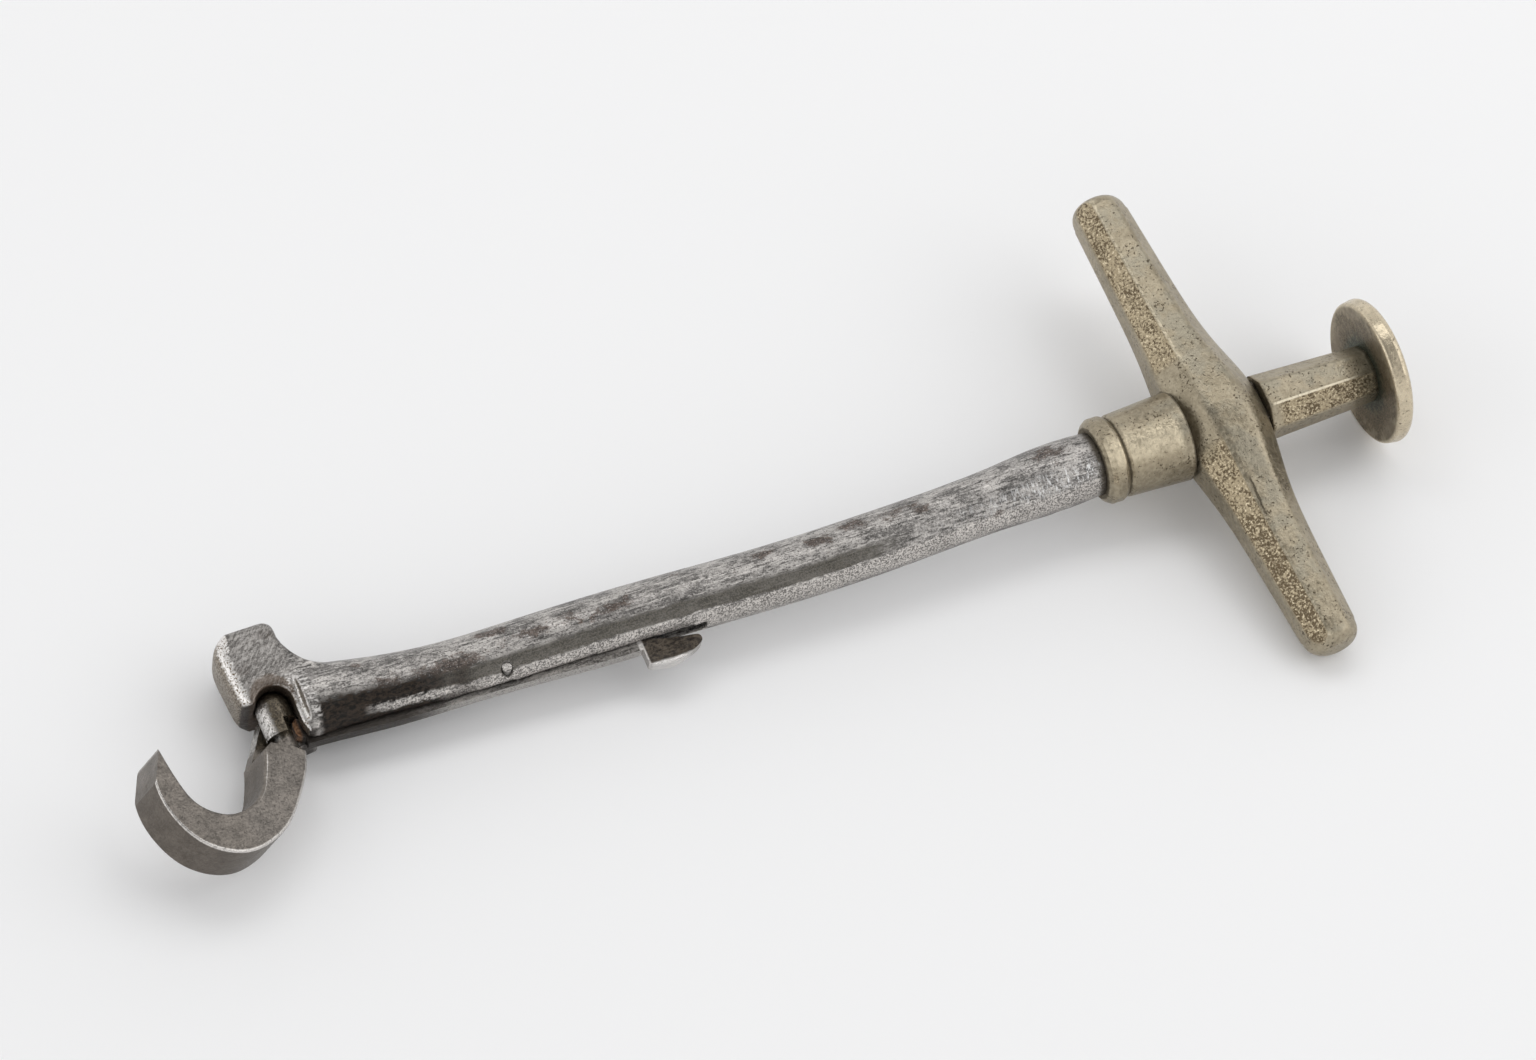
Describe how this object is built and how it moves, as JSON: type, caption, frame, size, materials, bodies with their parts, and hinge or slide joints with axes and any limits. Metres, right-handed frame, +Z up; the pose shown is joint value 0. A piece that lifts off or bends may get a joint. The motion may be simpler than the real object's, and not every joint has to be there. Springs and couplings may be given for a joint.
{
  "type": "dental key",
  "caption": "Antique dental key: bowed steel shaft with a bolster, a swivelling hook claw held by a sprung latch lever, and an octagonal crossbar handle with a palm disc.",
  "frame": {"origin": "centre of the bounding box's underside, on the table that the tool lies on", "axes": "+X along the tool from the claw to the palm disc, +Y towards the crossbar's raised arm, +Z up from the table"},
  "size_m": [0.1702, 0.067, 0.019],
  "materials": {
    "forged_steel": "old forged and filed steel, mottled with brown rust stains",
    "claw_steel": "warm grey satin steel with dark specks",
    "lever_steel": "dark worn steel with bright edges",
    "spring_steel": "dark blued spring steel",
    "nickel_silver": "cast nickel silver, pale gold-grey, pitted on some facets",
    "tarnished_nickel_silver": "nickel silver with brown tarnish and a bright rim"
  },
  "bodies": {
    "key": {"shaft": "forged_steel", "latch_pin": "lever_steel", "latch_spring": "spring_steel", "spring_screw": "spring_steel", "crossbar": "nickel_silver", "ferrule": "nickel_silver", "stem": "nickel_silver", "palm_disc": "tarnished_nickel_silver"},
    "hook": {"claw": "claw_steel"},
    "lever": {"latch_lever": "lever_steel"}
  },
  "joints": [
    {"name": "claw_swivel", "type": "hinge", "parent": "key", "child": "hook", "pos_m": [-0.06412, -0.0003, 0.00546], "axis": [-0.0052, 0.9858, 0.1679], "range_deg": [-25, 65]},
    {"name": "latch_press", "type": "hinge", "parent": "key", "child": "lever", "pos_m": [-0.03595, -0.00246, 0.00536], "axis": [-0.0308, -0.168, 0.9853], "range_deg": [0, 2], "stiffness_Nm_per_rad": 0.3, "springref_deg": -5.73, "deforming": ["latch_spring"]}
  ]
}
